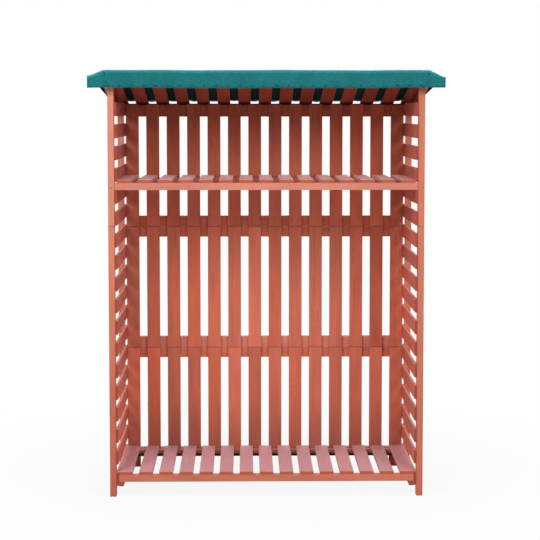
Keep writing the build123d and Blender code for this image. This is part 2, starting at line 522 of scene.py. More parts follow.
    @cached_property
    def dark(self) -> Node:
        """Share of painted shade at the point: in the joints at the board's ends and beside its shade plane.
        """
        tree, (low, high), (begin, full) = self.tree, self.layout.ends, self.finish.joint
        along = self.place[self.layout.grain]
        apart = add(tree, "Math.SUBTRACT", along, (low + high) / 2)
        from_middle, half = add(tree, "Math.ABSOLUTE", apart), (high - low) / 2
        near = (from_middle, half - begin, half - full, 0.0, self.finish.joint_shade_strength)
        ends = add(tree, "MapRange", *near, **SMOOTH)
        if self.layout.contact is None:
            return ends
        return add(tree, "Math.MAXIMUM", ends, self.beside(self.layout.contact))

    def beside(self, contact: PaintedShadePlane) -> Node:
        """Add the painted shade beside a plane where other parts meet the boards.

        Args:
            contact: The plane.

        Returns:
            The painted shade's share, from 0 to 1.
        """
        tree, place = self.tree, self.source.outputs["Object"]
        height = add(tree, "VectorMath.DOT_PRODUCT", place, contact.normal)
        apart = add(tree, "Math.SUBTRACT", height, contact.offset)
        distance, full = add(tree, "Math.ABSOLUTE", apart), contact.reach * contact.full_at
        shade = add(tree, "MapRange", distance, contact.reach, full, 0.0, contact.strength)
        if not contact.below_only:
            return shade
        looks_down = add(tree, "Math.LESS_THAN", self.facing[2], -0.5)
        return add(tree, "Math.MULTIPLY", shade, looks_down)

    @cached_property
    def sawn(self) -> Node:
        """Whether the face is a sawn end, 0 or 1."""
        turned = add(self.tree, "Math.ABSOLUTE", self.facing[self.layout.grain])
        return add(self.tree, "Math.GREATER_THAN", turned, 0.8)

    def colour(self) -> Node:
        """Stain the wood, blend in painted light and shade by height, tone each board, and lay knots, wear,
        painted sheen, painted shade in joints and sawn ends over it.

        Returns:
            The finished colour.
        """
        finish, tree, contact = self.finish, self.tree, self.layout.contact
        # painted light and shade by height: the early wood blends from its own colour at the floor to its
        # painted colour at the top
        height = add(tree, "SeparateXYZ", self.source.outputs["Object"]).outputs[2]
        top_painted_light = add(tree, "MapRange", height, 0.0, finish.top_painted_light_height)
        early = add(tree, "Mix", top_painted_light, linear(finish.early), linear(finish.top_painted_light), data_type="RGBA")
        tone = add(tree, "Mix", self.ring, early, linear(finish.late), data_type="RGBA")
        for value, span, levels in (
            (self.fibres, NOISE_RANGE, finish.fibre_levels),
            (self.blotches, NOISE_RANGE, finish.blotch_levels),
            (self.chance, (0.0, 1.0), finish.board_levels),
        ):
            level = add(tree, "MapRange", value, *span, *levels)
            tone = add(tree, "VectorMath.SCALE", tone, level)
        hue = add(tree, "Mix", self.dice[1], *finish.hues, data_type="RGBA")
        tone = add(tree, "VectorMath.MULTIPLY", tone, hue)
        for share, over in (
            (self.knot, finish.knot),
            (self.arris, finish.worn),
            # painted sheen on faces that look up
            (self.painted_top_sheen, finish.painted_sheen_colour),
            # painted shade in the joints and beside the shade plane
            (self.dark, contact.colour if contact else PaintedShadePlane.colour),
            (self.sawn, finish.end_grain),
        ):
            tone = add(tree, "Mix", share, tone, linear(over), data_type="RGBA")
        return tone


@dataclass(frozen=True)
class WovenPolyester(Finish):
    """Woven polyester cover cloth in teal: matt threads with a faint nap that catches the light."""

    colour: str = "146568"
    pale: str = "248388"  # the thread crowns and the nap
    deep: str = "0e5659"  # the hollows of the weave
    # spacing of the threads in metres, drawn coarser than the real 0.6 mm so that they show
    thread: float = 2.2 * MM
    speckle: float = 1 / 180  # size of the nap's speckles
    cloud: float = 1 / 14  # size of the cloth's softer patches
    crown_highlight_strength: float = 0.8  # how much lighter the painted highlight makes the top and the crown of each fold
    # where that painted highlight begins and is full, in metres along the cloth from the fold
    crown_highlight: Pair = (-16 * MM, -2 * MM)
    fold_at: float = 644.2 * MM  # distance from the middle to the fold over each side
    wing_fall: float = 0.4  # fall of the fold along a corner wing's top, for each metre out
    wing_light: float = 1.12  # level of the wings, which catch more light than the valance

    def surface(self, tree: NodeTree) -> dict[str, Any]:
        """Add the finish's nodes, on the cloth's own flat layout.

        Args:
            tree: The material's node tree.

        Returns:
            The shader's sockets.
        """
        flat = add(tree, "UVMap", uv_map="flat_cut")
        threads = (flat, WAVE_SPACING / self.thread, 0.6, 2.0, 0.4)
        warp, weft = (add(tree, "TexWave", *threads, bands_direction=axis).outputs["Fac"] for axis in "XY")
        weave = add(tree, "Math.MULTIPLY", warp, weft)
        speckles = add(tree, "TexNoise", flat, 1 / self.speckle, 3.0, 0.65)
        clouds = add(tree, "TexNoise", flat, 1 / self.cloud, 2.0, 0.5)
        mottle = add(tree, "Math.MULTIPLY_ADD", weave, 0.25, speckles)
        mixed = add(tree, "Math.MULTIPLY_ADD", clouds, 0.25, mottle)
        tone = add(tree, "ValToRGB", mixed)
        set_ramp(tone, [(0.42, self.deep), (0.66, self.colour), (0.95, self.pale)])
        return {
            "Base Color": add(tree, "VectorMath.SCALE", tone, self.light(tree, flat)),
            "Roughness": 0.9,
            "Normal": add(tree, "Bump", sockets={"Height": mixed, "Strength": 0.5, "Distance": 0.5 * MM}),
            "Specular IOR Level": 0.2,
            "Sheen Weight": 0.35,
            "Sheen Roughness": 0.35,
            "Sheen Tint": linear("52d8dc"),
        }

    def light(self, tree: NodeTree, flat: Node) -> Node:
        """Add the painted light on the cloth: a painted highlight along the crown of each fold, and brighter
        wings.

        Args:
            tree: The material's node tree.
            flat: Place on the flat cloth.

        Returns:
            The level, which multiplies the colour.
        """
        place = add(tree, "SeparateXYZ", flat).outputs
        from_middle = add(tree, "Math.ABSOLUTE", place[0])
        beyond = add(tree, "Math.SUBTRACT", from_middle, self.fold_at)
        on_wing = add(tree, "Math.MAXIMUM", beyond, 0.0)
        # distance below the fold over the fascia, or below the fold along a wing's top
        fall = add(tree, "Math.MULTIPLY_ADD", on_wing, self.wing_fall, place[1])
        levels = (1.0, 1.0 + self.crown_highlight_strength)
        # painted highlight along the crown of each fold
        crown_highlight = add(tree, "MapRange", fall, *self.crown_highlight, *levels, **SMOOTH)
        wing = add(tree, "MapRange", on_wing, 0.0, 8 * MM, 1.0, self.wing_light)
        return add(tree, "Math.MULTIPLY", crown_highlight, wing)


@dataclass(frozen=True)
class RubberisedBacking(Finish):
    """Dark waterproof coating on the inside of the cover: matt, nearly black, with a green cast."""

    colour: str = "0b3b3e"
    hollow: str = "072c2f"  # colour of its hollows
    grain: float = 3 * MM  # size of its faint orange-peel texture

    def surface(self, tree: NodeTree) -> dict[str, Any]:
        """Add the finish's nodes.

        Args:
            tree: The material's node tree.

        Returns:
            The shader's sockets.
        """
        peel = add(tree, "TexNoise", add(tree, "UVMap", uv_map="flat_cut"), 1 / self.grain, 2.0)
        tone = add(tree, "ValToRGB", peel)
        set_ramp(tone, [(0.3, self.hollow), (0.7, self.colour)])
        return {
            "Base Color": tone,
            "Roughness": 0.85,
            "Normal": add(tree, "Bump", sockets={"Height": peel, "Strength": 0.3, "Distance": 0.3 * MM}),
            "Specular IOR Level": 0.1,
        }


@dataclass(frozen=True)
class CoatedSteel(Finish):
    """Steel of a small fastener, plated or painted thinly, so that it shines dully and in patches."""

    colour: str = "a9b89a"  # the coating's colour, for zinc a grey with a faint green-yellow cast
    dull: str = "7d8a70"
    roughness: float = 0.42
    patch: float = 1 / 420  # size of the patches

    def surface(self, tree: NodeTree) -> dict[str, Any]:
        """Add the finish's nodes.

        Args:
            tree: The material's node tree.

        Returns:
            The shader's sockets.
        """
        patches = add(tree, "TexNoise", add(tree, "TexCoord").outputs["Object"], 1 / self.patch, 3.0)
        tone = add(tree, "ValToRGB", patches)
        set_ramp(tone, [(0.35, self.dull), (0.65, self.colour)])
        rough = add(tree, "MapRange", patches, 0.0, 1.0, self.roughness - 0.1, self.roughness + 0.12)
        return {"Base Color": tone, "Metallic": 1.0, "Roughness": rough}


def finish_mesh(name: str, mesh: BMesh, materials: list[Material], smooth: bool) -> Object:
    """Turn a bmesh into an object at the origin.

    Args:
        name: The object's name.
        mesh: The bmesh, which is freed.
        materials: Its material slots.
        smooth: Whether its faces are shaded smooth.

    Returns:
        The object.
    """
    data = bpy.data.meshes.new(name)
    for face in mesh.faces:
        face.smooth = smooth
    mesh.to_mesh(data)
    mesh.free()
    for material in materials:
        data.materials.append(material)
    piece = bpy.data.objects.new(name, data)
    bpy.context.scene.collection.objects.link(piece)
    return piece


def round_edges(mesh: BMesh, corners: list[BMVert], width: float) -> list[BMVert]:
    """Round every edge of one block.

    Args:
        mesh: The bmesh it is in.
        corners: The block's vertices.
        width: Width of the rounding in metres.

    Returns:
        The rounded block's vertices.
    """
    block = set(corners)
    edges = [edge for edge in mesh.edges if edge.verts[0] in block]
    rounded = bmesh.ops.bevel(
        mesh, geom=edges, offset=width, affect="EDGES", segments=2, profile=0.5, material=-1
    )
    return rounded["verts"]


def roof_top(y: float) -> float:
    """Height of the roof slats' upper face at depth y, in metres."""
    return REAR_HEIGHT + (REAR_Y - y) * SLOPE_RISE + ROOF_SLAT_THICKNESS / math.cos(ROOF_SLOPE)


def add_waves(position: float, waves: tuple[Triple, ...]) -> float:
    """Add up sine waves.

    Args:
        position: Position in metres.
        waves: Height in metres, rate per metre and phase of each wave.

    Returns:
        Their sum at the position, in metres.
    """
    return sum(height * math.sin(position * rate + phase) for height, rate, phase in waves)


@dataclass
class RoofCover:
    """The cloth cover: one sheet laid over the slats, turned down in front and at the sides."""

    half_width: float = 644.2 * MM  # from the middle to the fold over each side
    front: float = -305.2 * MM  # depth of the fold over the fascia
    rear: float = 245.6 * MM  # depth of the rear hem
    valance: float = 70 * MM  # drop of the front valance
    flap: float = 61 * MM  # drop of the side flaps
    hem: float = 26 * MM  # width of the hem that is turned under at the rear
    thickness: float = 1.4 * MM
    lift: float = 4.5 * MM  # clearance of the cloth's middle over the timber
    crown: float = 3.6 * MM  # how far the cloth stands up over the fascia, before its fold is rounded
    crown_run: float = 50 * MM  # distance along the slope over which the crown settles
    # waves of the top edge, which is never quite straight over the fascia
    top_waves: tuple[Triple, ...] = ((0.7 * MM, 11.0, 0.8), (0.42 * MM, 27.0, 0.0))
    # wave of the valance between the staples, forwards
    belly: tuple[Triple, ...] = ((0.6 * MM, 19.0, 2.0),)
    pull: float = 1 * MM  # how far the staples pull the valance's lower edge in
    droop: float = 2.5 * MM  # how much lower the valance hangs in its middle
    sag: float = 2.4 * MM  # how far the cloth sags between two roof slats
    over_slat: float = 4 * MM  # how far over a slat's edge the sag begins
    settle: float = 60 * MM  # distance behind the fascia over which sag and wrinkles grow
    wrinkle: float = 0.5 * MM  # height of the wrinkles on the roof
    rounding: float = 11 * MM  # distance on each side of a fold over which the cloth bends
    # fall of the fold along the top of the left and right corner wings, in radians
    fold_angles: Pair = (math.atan2(23, 61), math.atan2(29, 61))
    wing_bend: float = 5 * MM  # how far back a wing bends at its tip
    # depth of a wing's back layer behind its front, and the reach where it gets there
    wing_gap: Pair = (6 * MM, 14 * MM)
    hem_run: float = 140 * MM  # distance before the rear hem over which its waves grow
    hem_drop: float = 1.6 * MM  # how far the hem hangs
    # waves of the hem, downwards
    hem_waves: tuple[Triple, ...] = ((1.32 * MM, 27.0, 1.3), (1.1 * MM, 61.0, 0.0), (0.66 * MM, 97.0, 0.0))
    # waves of the hem, backwards
    hem_drift: tuple[Triple, ...] = ((8.0 * MM, 21.0, 0.6), (3.2 * MM, 47.0, 0.0))
    flare: Pair = (0.36, 0.45)  # share of the left and right flap's flare that fades slowly
    # distances over which the quick and the slow share of the flare fade
    flare_runs: Pair = (12 * MM, 150 * MM)
    sway: Triple = (1.2 * MM, 26.0, 1.0)  # wave of the flaps, sideways
    cell: float = 11 * MM

    @property
    def run(self) -> float:
        """Length of the sloping part along the slope, in metres."""
        return (self.rear - self.front) / math.cos(ROOF_SLOPE)

    def fold_angle(self, side: float) -> float:
        """Fall of the wing's fold on one side, -1 for the left and 1 for the right."""
        return self.fold_angles[0] if side < 0 else self.fold_angles[1]

    def flat_size(self) -> Pair:
        """Width and length of the cloth before it was folded, in metres."""
        return 2 * (self.half_width + self.flap), self.valance + self.run + self.hem

    def corner(self, across: float, along: float, fold: float) -> Vector:
        """Fold one point of a corner square of the flat cloth into the wing.

        Args:
            across: Distance beyond the side fold, in metres.
            along: Distance below the front fold, in metres.
            fold: Fall of the wing's fold, in radians.

        Returns:
            Reach beyond the side, depth behind the valance and height under the fold.
        """
        radius = math.hypot(across, along)
        angle = math.atan2(along, across)
        if angle >= fold:
            return Vector((across, self.wing_bend * (across / self.flap) ** 2, -along))
        angle = 2 * fold - angle
        return Vector((radius * math.cos(angle), self.behind(radius), -radius * math.sin(angle)))

    def behind(self, reach: float) -> float:
        """Depth of the wing's back layer behind the valance, at a distance from the corner."""
        depth, reached_at = self.wing_gap
        return depth * min(1.0, reach / reached_at) + self.wing_bend * (reach / self.flap) ** 2

    @cached_property
    def slat_row(self) -> Pair:
        """Middle of the first roof slat and the slats' spacing, in metres."""
        low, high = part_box("roof_slats")
        return low.x + ROOF_SLAT_WIDTH / 2, (high.x - low.x - ROOF_SLAT_WIDTH) / (ROOF_SLATS - 1)

    def between_slats(self, across: float, distance: float) -> float:
        """Tell how far the cloth lies below its level over the slats.

        Args:
            across: Position across the roof.
            distance: Distance behind the front fold, along the slope.

        Returns:
            The drop, in metres.
        """
        first, pitch = self.slat_row
        steps = (across - first) / pitch
        off_slat = abs(steps - round(steps)) * pitch - ROOF_SLAT_WIDTH / 2 + self.over_slat
        gap = (pitch - ROOF_SLAT_WIDTH) / 2 + self.over_slat
        share = min(1.0, max(0.0, off_slat / gap))
        wrinkle = math.sin(across * 9.0 + distance * 13.0) * math.sin(across * 4.0 - distance * 21.0)
        drop = self.sag * share * share * (3 - 2 * share) - self.wrinkle * wrinkle
        return min(1.0, distance / self.settle) * drop

    def place(self, across: float, along: float) -> Vector:
        """Fold one point of the flat cloth into place over the roof.

        Args:
            across: Position across the flat cloth, 0 in the middle.
            along: Position along it, 0 at the front fold, negative on the valance.

        Returns:
            The point in the object's frame.
        """
        return self.on_valance(across, along) if along < 0 else self.on_roof(across, along)

    def on_valance(self, across: float, along: float) -> Vector:
        """Fold one point of the valance or of a corner wing into place.

        Args:
            across: Position across the flat cloth.
            along: Position along it, which is negative here.

        Returns:
            The point in the object's frame.
        """
        side = 1.0 if across >= 0 else -1.0
        beyond = abs(across) - self.half_width
        top = roof_top(self.front) + self.lift + self.crown + add_waves(across, self.top_waves)
        low = -along / self.valance
        y = self.front + self.pull * low * low
        if beyond > 0:
            reach = self.corner(beyond, -along, self.fold_angle(side))
            return Vector((side * (self.half_width + reach.x), y + reach.y, top + reach.z))
        middle = max(0.0, 1 - (across / self.half_width) ** 2)
        belly = add_waves(across, self.belly) * math.sin(math.pi * low)
        return Vector((across, y - belly, top + along - self.droop * middle * low))

    def on_roof(self, across: float, along: float) -> Vector:
        """Fold one point of the sloping part, of its hem or of a side flap into place.

        Args:
            across: Position across the flat cloth.
            along: Position along it, which is more than the slope's length on the hem.

        Returns:
            The point in the object's frame.
        """
        side = 1.0 if across >= 0 else -1.0
        beyond = abs(across) - self.half_width
        turned_under = along > self.run
        distance = 2 * self.run - along if turned_under else along
        y = self.front + distance * math.cos(ROOF_SLOPE)
        crown = (self.crown + add_waves(across, self.top_waves)) * math.exp(-distance / self.crown_run)
        z = roof_top(y) + self.lift + crown
        z -= self.between_slats(across, distance) if beyond <= 0 else 0.0
        if turned_under:
            z -= self.thickness * 1.6
        fade = max(0.0, 1 - (self.run - distance) / self.hem_run)
        z -= fade * fade * (self.hem_drop + add_waves(across, self.hem_waves))
        y += fade * fade * add_waves(across, self.hem_drift)
        if beyond <= 0:
            return Vector((across, y, z))
        # the flap flares at its front end, and hangs plumb further back
        slow, (quick_run, slow_run) = self.flare[0] if side < 0 else self.flare[1], self.flare_runs
        ease = 1 - (1 - slow) * math.exp(-distance / quick_run) - slow * max(0.0, 1 - distance / slow_run)
        fold = self.fold_angle(side)
        angle = 2 * fold + (math.pi / 2 - 2 * fold) * ease
        y += (1 - ease) * self.behind(beyond)
        height, rate, phase = self.sway
        sway = height * math.sin(distance * rate + side * phase) * (beyond / self.flap) * ease
        x = side * (self.half_width + beyond * math.cos(angle) + sway)
        return Vector((x, y, z - beyond * math.sin(angle)))

    def bends(self, across: float, along: float) -> bool:
        """Tell whether a point of the flat cloth lies beside a fold over the timber or of a wing.

        Args:
            across: Position across the cloth in metres.
            along: Position along the cloth in metres, 0 at the fold over the fascia.

        Returns:
            Whether it does.
        """
        side = 1.0 if across >= 0 else -1.0
        beyond = abs(across) - self.half_width
        if abs(along) < self.rounding:
            return True
        if along > 0:
            return abs(beyond) < self.rounding * 0.6 and along < self.run - 2 * MM
        fold = self.fold_angle(side)
        beside = -along * math.cos(fold) - beyond * math.sin(fold)
        return beyond > 0 and abs(beside) < self.rounding * 0.6

    def cut(
        self, mesh: BMesh, point: Vector, normal: Vector, keep: Callable[[BMFace], bool] = lambda face: True
    ) -> None:
        """Cut the flat cloth along a line.

        Args:
            mesh: The flat cloth.
            point: A point of the line.
            normal: Direction square to it.
            keep: Tells which faces are cut.
        """
        faces = [face for face in mesh.faces if keep(face)]
        geometry: list[Any] = list(faces)
        geometry += list({edge for face in faces for edge in face.edges})
        geometry += list({vert for face in faces for vert in face.verts})
        bmesh.ops.bisect_plane(mesh, geom=geometry, dist=0.05 * MM, plane_co=point, plane_no=normal)

    def cut_folds(self, mesh: BMesh) -> None:
        """Cut the flat cloth beside every fold, so that it can bend evenly.

        Args:
            mesh: The flat cloth.
        """
        for side in (-1, 1):
            fold = Vector((side * self.half_width, 0, 0))
            for offset in (-6, -3, 0, 3, 6):
                self.cut(mesh, fold + Vector((side * offset * MM, 0, 0)), Vector((1, 0, 0)))
            turn = Matrix.Rotation(-side * self.fold_angle(side), 3, "Z")
            for offset in (-3.5, 0, 3.5):
                self.cut(
                    mesh,
                    fold + turn @ Vector((0, offset * MM, 0)),
                    turn @ Vector((0, 1, 0)),
                    lambda face, s=side: s * face.calc_center_median().x > self.half_width
                    and face.calc_center_median().y < 0,
                )
        for fold_at, offsets in ((0.0, (-10, -7, -3.5, 0, 3.5, 7, 10)), (self.run, (-2, 0, 2))):
            for offset in offsets:
                self.cut(mesh, Vector((0, fold_at + offset * MM, 0)), Vector((0, 1, 0)))

    def flat_mesh(self) -> BMesh:
        """Make the flat cloth, with its cuts and its flat layout.

        Returns:
            The flat cloth.
        """
        width, length = self.flat_size()
        across, along = round(width / self.cell), round(length / self.cell)
        mesh = bmesh.new()
        bmesh.ops.create_grid(mesh, x_segments=across, y_segments=along, size=0.5)
        bmesh.ops.scale(mesh, vec=(width, length, 1), verts=mesh.verts)
        bmesh.ops.translate(mesh, vec=(0, length / 2 - self.valance, 0), verts=mesh.verts)
        self.cut_folds(mesh)
        flat = mesh.loops.layers.uv.new("flat_cut")
        for face in mesh.faces:
            for loop in face.loops:
                loop[flat].uv = loop.vert.co.xy
        return mesh

    def build(self, cloth: Material, backing: Material) -> Object:
        """Make the cover as one folded sheet.

        Args:
            cloth: Finish of the outside.
            backing: Finish of the inside.

        Returns:
            The cover.
        """
        mesh = self.flat_mesh()
        tip = self.half_width + self.flap - 0.1 * MM
        bent = [
            vert
            for vert in mesh.verts
            if self.bends(vert.co.x, vert.co.y) and (vert.co.y > 0 or abs(vert.co.x) < tip)
        ]
        for vert in mesh.verts:
            vert.co = self.place(vert.co.x, vert.co.y)
        for _ in range(10):
            bmesh.ops.smooth_vert(
                mesh, verts=bent, factor=0.5, use_axis_x=True, use_axis_y=True, use_axis_z=True
            )
        bmesh.ops.recalc_face_normals(mesh, faces=mesh.faces)
        top = max(mesh.faces, key=lambda face: face.calc_center_median().z)
        if top.normal.z < 0:
            bmesh.ops.reverse_faces(mesh, faces=mesh.faces)
        piece = finish_mesh("cover_cloth", mesh, [cloth, backing], smooth=True)
        wall = piece.modifiers.new("cloth thickness", "SOLIDIFY")
        wall.thickness = self.thickness
        wall.offset = 0.0
        wall.material_offset = 1
        wall.material_offset_rim = 0
        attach(piece, "root")
        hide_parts("roof_cover")
        return piece


@dataclass
class CoverStaples:
    """Wire staples that hold the valance to the fascia."""

    crown: float = 13 * MM
    wire: float = 1.8 * MM
    count: int = 27  # how many are in the row along the valance
    pitch: float = 47.5 * MM
    first: float = -625.5 * MM  # position of the first staple from the middle
    height: float = 1648.5 * MM
    depth: float = -305.6 * MM  # depth of the valance's face
    tilt: float = 1.2  # step of the staples' tilt in degrees, of which each has up to 5 either way
    # position across and height of the upright staples at the corners, in millimetres
    upright: tuple[Pair, ...] = ((-636, 1695), (-631.6, 1665), (637, 1693), (635, 1660))

    def build(self, wire: Material) -> Object:
        """Make the row of staples and the two at each corner.

        Args:
            wire: Their finish.

        Returns:
            The staples as one piece.
        """
        mesh = bmesh.new()
        places = [(self.first + i * self.pitch, self.height, 0.0) for i in range(self.count)]
        places += [(x * MM, z * MM, math.pi / 2) for x, z in self.upright]
        for index, (x, z, turn) in enumerate(places):
            tilt = math.radians((index * 37 % 11 - 5) * self.tilt) + turn
            made = bmesh.ops.create_cube(
                mesh,
                size=1.0,
                matrix=Matrix.Translation((x, self.depth, z))
                @ Matrix.Rotation(tilt, 4, "Y")
                @ Matrix.Diagonal((self.crown, self.wire, self.wire, 1.0)),
            )
            round_edges(mesh, made["verts"], self.wire / 4)
        piece = finish_mesh("cover_staples", mesh, [wire], smooth=True)
        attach(piece, "root")
        return piece


@dataclass
class RoofSideBoards:
    """Boards under the roof's outer edges, outside the posts, which the cover's flaps hang over."""

    inner: float = BODY_HALF_WIDTH + 0.2 * MM  # from the middle to a board's inner face, against the posts
    thickness: float = 12.6 * MM
    drop: float = 40 * MM  # height of a board under the roof slats
    front: float = FRONT_Y + 0.2 * MM  # where the boards begin in front, behind the roof's front batten
    rear: float = 244 * MM  # where the boards end behind
    edge: float = 1.0 * MM  # radius of their arrises
    clearance: float = 0.1 * MM  # gap under the roof slats
    # how the boards lie for their finish, with no ends or arrises that show
    layout: BoardLayout = BoardLayout(
        grain=Axis.Y,
        across=Axis.Z,
        first=REAR_HEIGHT,
        pitch=LONE_BOARD,
        width=LONE_BOARD,
        middle=0.0,
        thickness=LONE_BOARD,
        ends=NO_ENDS,
    )
    seed: float = 977.0  # number that sets them apart from the other timber

    def build(self, timber: Material) -> Object:
        """Make both boards, cut to the roof's slope.

        Args:
            timber: Their finish.

        Returns:
            The boards as one piece.
        """
        mesh = bmesh.new()
        for side in (-1, 1):
            made = bmesh.ops.create_cube(mesh, size=1.0)["verts"]
            bmesh.ops.scale(mesh, vec=(self.thickness, self.rear - self.front, self.drop), verts=made)
            shaped = round_edges(mesh, made, self.edge)
            x, y = side * (self.inner + self.thickness / 2), (self.rear + self.front) / 2
            bmesh.ops.translate(mesh, vec=(x, y, -self.drop / 2), verts=shaped)
            for vert in shaped:
                vert.co.z += REAR_HEIGHT + (REAR_Y - vert.co.y) * SLOPE_RISE - self.clearance
        bmesh.ops.recalc_face_normals(mesh, faces=mesh.faces)
        piece = finish_mesh("roof_side_boards", mesh, [timber], smooth=False)
        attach(piece, "root")
        return piece


@dataclass
class ShelfBolts:
    """Domed bolt heads that fix the shelf's front rail to the posts."""

    diameter: float = 9 * MM
    rise: float = 2.6 * MM
    washer: float = 1.2 * MM  # thickness of the washer under it
    sunk: float = 0.4 * MM  # how far the washer reaches into the timber
    places: Pair = (-618.7 * MM, 619.6 * MM)  # their positions across
    height: float = 1249 * MM

    def profile(self) -> list[Pair]:
        """List the profile of head and washer.

        Returns:
            Radius as a share of the head's diameter, and depth from the timber's face, of each point.
        """
        return [
            (0.0, -self.washer - self.rise),
            (0.3, -self.washer * 0.75 - self.rise),
            (0.42, -self.washer - self.rise * 0.55),
            (0.5, -self.washer),
            (0.62, -self.washer),
            (0.64, -self.washer * 0.75),
            (0.64, self.sunk),
        ]

    def build(self, plating: Material) -> Object:
        """Make both heads, each with its washer.

        Args:
            plating: Their finish.

        Returns:
            The bolt heads as one piece.
        """
        mesh = bmesh.new()
        for x in self.places:
            points = [(x + share * self.diameter, FRONT_Y + y, self.height) for share, y in self.profile()]
            verts = [mesh.verts.new(point) for point in points]
            edges = [mesh.edges.new(pair) for pair in zip(verts, verts[1:])]
            bmesh.ops.spin(
                mesh,
                geom=verts + edges,
                cent=(x, FRONT_Y, self.height),
                axis=(0, 1, 0),
                angle=2 * math.pi,
                steps=24,
                use_merge=True,
            )
        bmesh.ops.remove_doubles(mesh, verts=mesh.verts, dist=0.01 * MM)
        bmesh.ops.holes_fill(mesh, edges=[edge for edge in mesh.edges if edge.is_boundary])
        bmesh.ops.recalc_face_normals(mesh, faces=mesh.faces)
        piece = finish_mesh("shelf_bolt_heads", mesh, [plating], smooth=True)
        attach(piece, "root")
        return piece


@dataclass
class SlatBrads:
    """Small flat brad heads that fix the slats to rails and posts, dipped in the same stain."""

    diameter: float = 3.2 * MM
    top: float = 0.36  # radius of its upper edge, as a share of the diameter
    rise: float = 0.35 * MM  # how far it stands out of the timber
    spread: float = 14 * MM  # distance of each of the two brads from the middle of a slat
    in_post: float = 20 * MM  # depth of the side walls' brads behind the front posts' face

    def pairs(self, slats: BoardLayout, count: int) -> list[float]:
        """Positions of the brads across a row of slats, two to each, in metres."""
        return [middle + side * self.spread for middle in slats.middles(count) for side in (-1, 1)]

    def places(self) -> list[tuple[Vector, Vector]]:
        """List the brads.

        Returns:
            Each brad's place on the timber's face, and the direction that the face looks in.
        """
        found: list[tuple[Vector, Vector]] = []
        forward, up = Vector((0, -1, 0)), Vector((0, 0, 1))
        for panel in ("lower", "middle", "upper"):
            slats = BoardLayout.of_node(f"back_slats_{panel}", Axis.Z, Axis.X, count=BACK_SLATS)
            for end in ("bottom", "top"):
                low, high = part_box(f"back_rail_{panel}_{end}")
                z = (low[2] + high[2]) / 2
                found += [(Vector((x, BACK_SLAT_Y, z)), forward) for x in self.pairs(slats, BACK_SLATS)]
        for deck in ("floor", "shelf"):
            slats = BoardLayout.of_node(f"{deck}_slats", Axis.Y, Axis.X, count=DECK_SLATS)
            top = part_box(f"{deck}_slats")[1][2]
            for rail in ("front", "rear"):
                low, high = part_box(f"{deck}_{rail}_rail")
                y = (low[1] + high[1]) / 2
                found += [(Vector((x, y, top)), up) for x in self.pairs(slats, DECK_SLATS)]
        for wall, inward in (("left", 1), ("right", -1)):
            for part, (count, pitch) in SIDE_SLATS.items():
                node = f"{wall}_side_slats_{part}"
                slats = BoardLayout.of_node(node, Axis.Y, Axis.Z, count, pitch)
                x, y = slats.middle + inward * slats.thickness / 2, FRONT_Y + self.in_post
                found += [(Vector((x, y, z)), Vector((inward, 0, 0))) for z in self.pairs(slats, count)]
        return found

    def build(self, steel: Material) -> Object:
        """Make all the brad heads.

        Args:
            steel: Their finish.

        Returns:
            The heads as one piece.
        """
        mesh = bmesh.new()
        for place, outward in self.places():
            turn = outward.to_track_quat("Z", "Y").to_matrix().to_4x4()
            bmesh.ops.create_cone(
                mesh,
                cap_ends=True,
                segments=8,
                radius1=self.diameter / 2,
                radius2=self.diameter * self.top,
                depth=self.rise * 2,
                matrix=Matrix.Translation(place) @ turn,
            )
        piece = finish_mesh("slat_brad_heads", mesh, [steel], smooth=False)
        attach(piece, "root")
        return piece


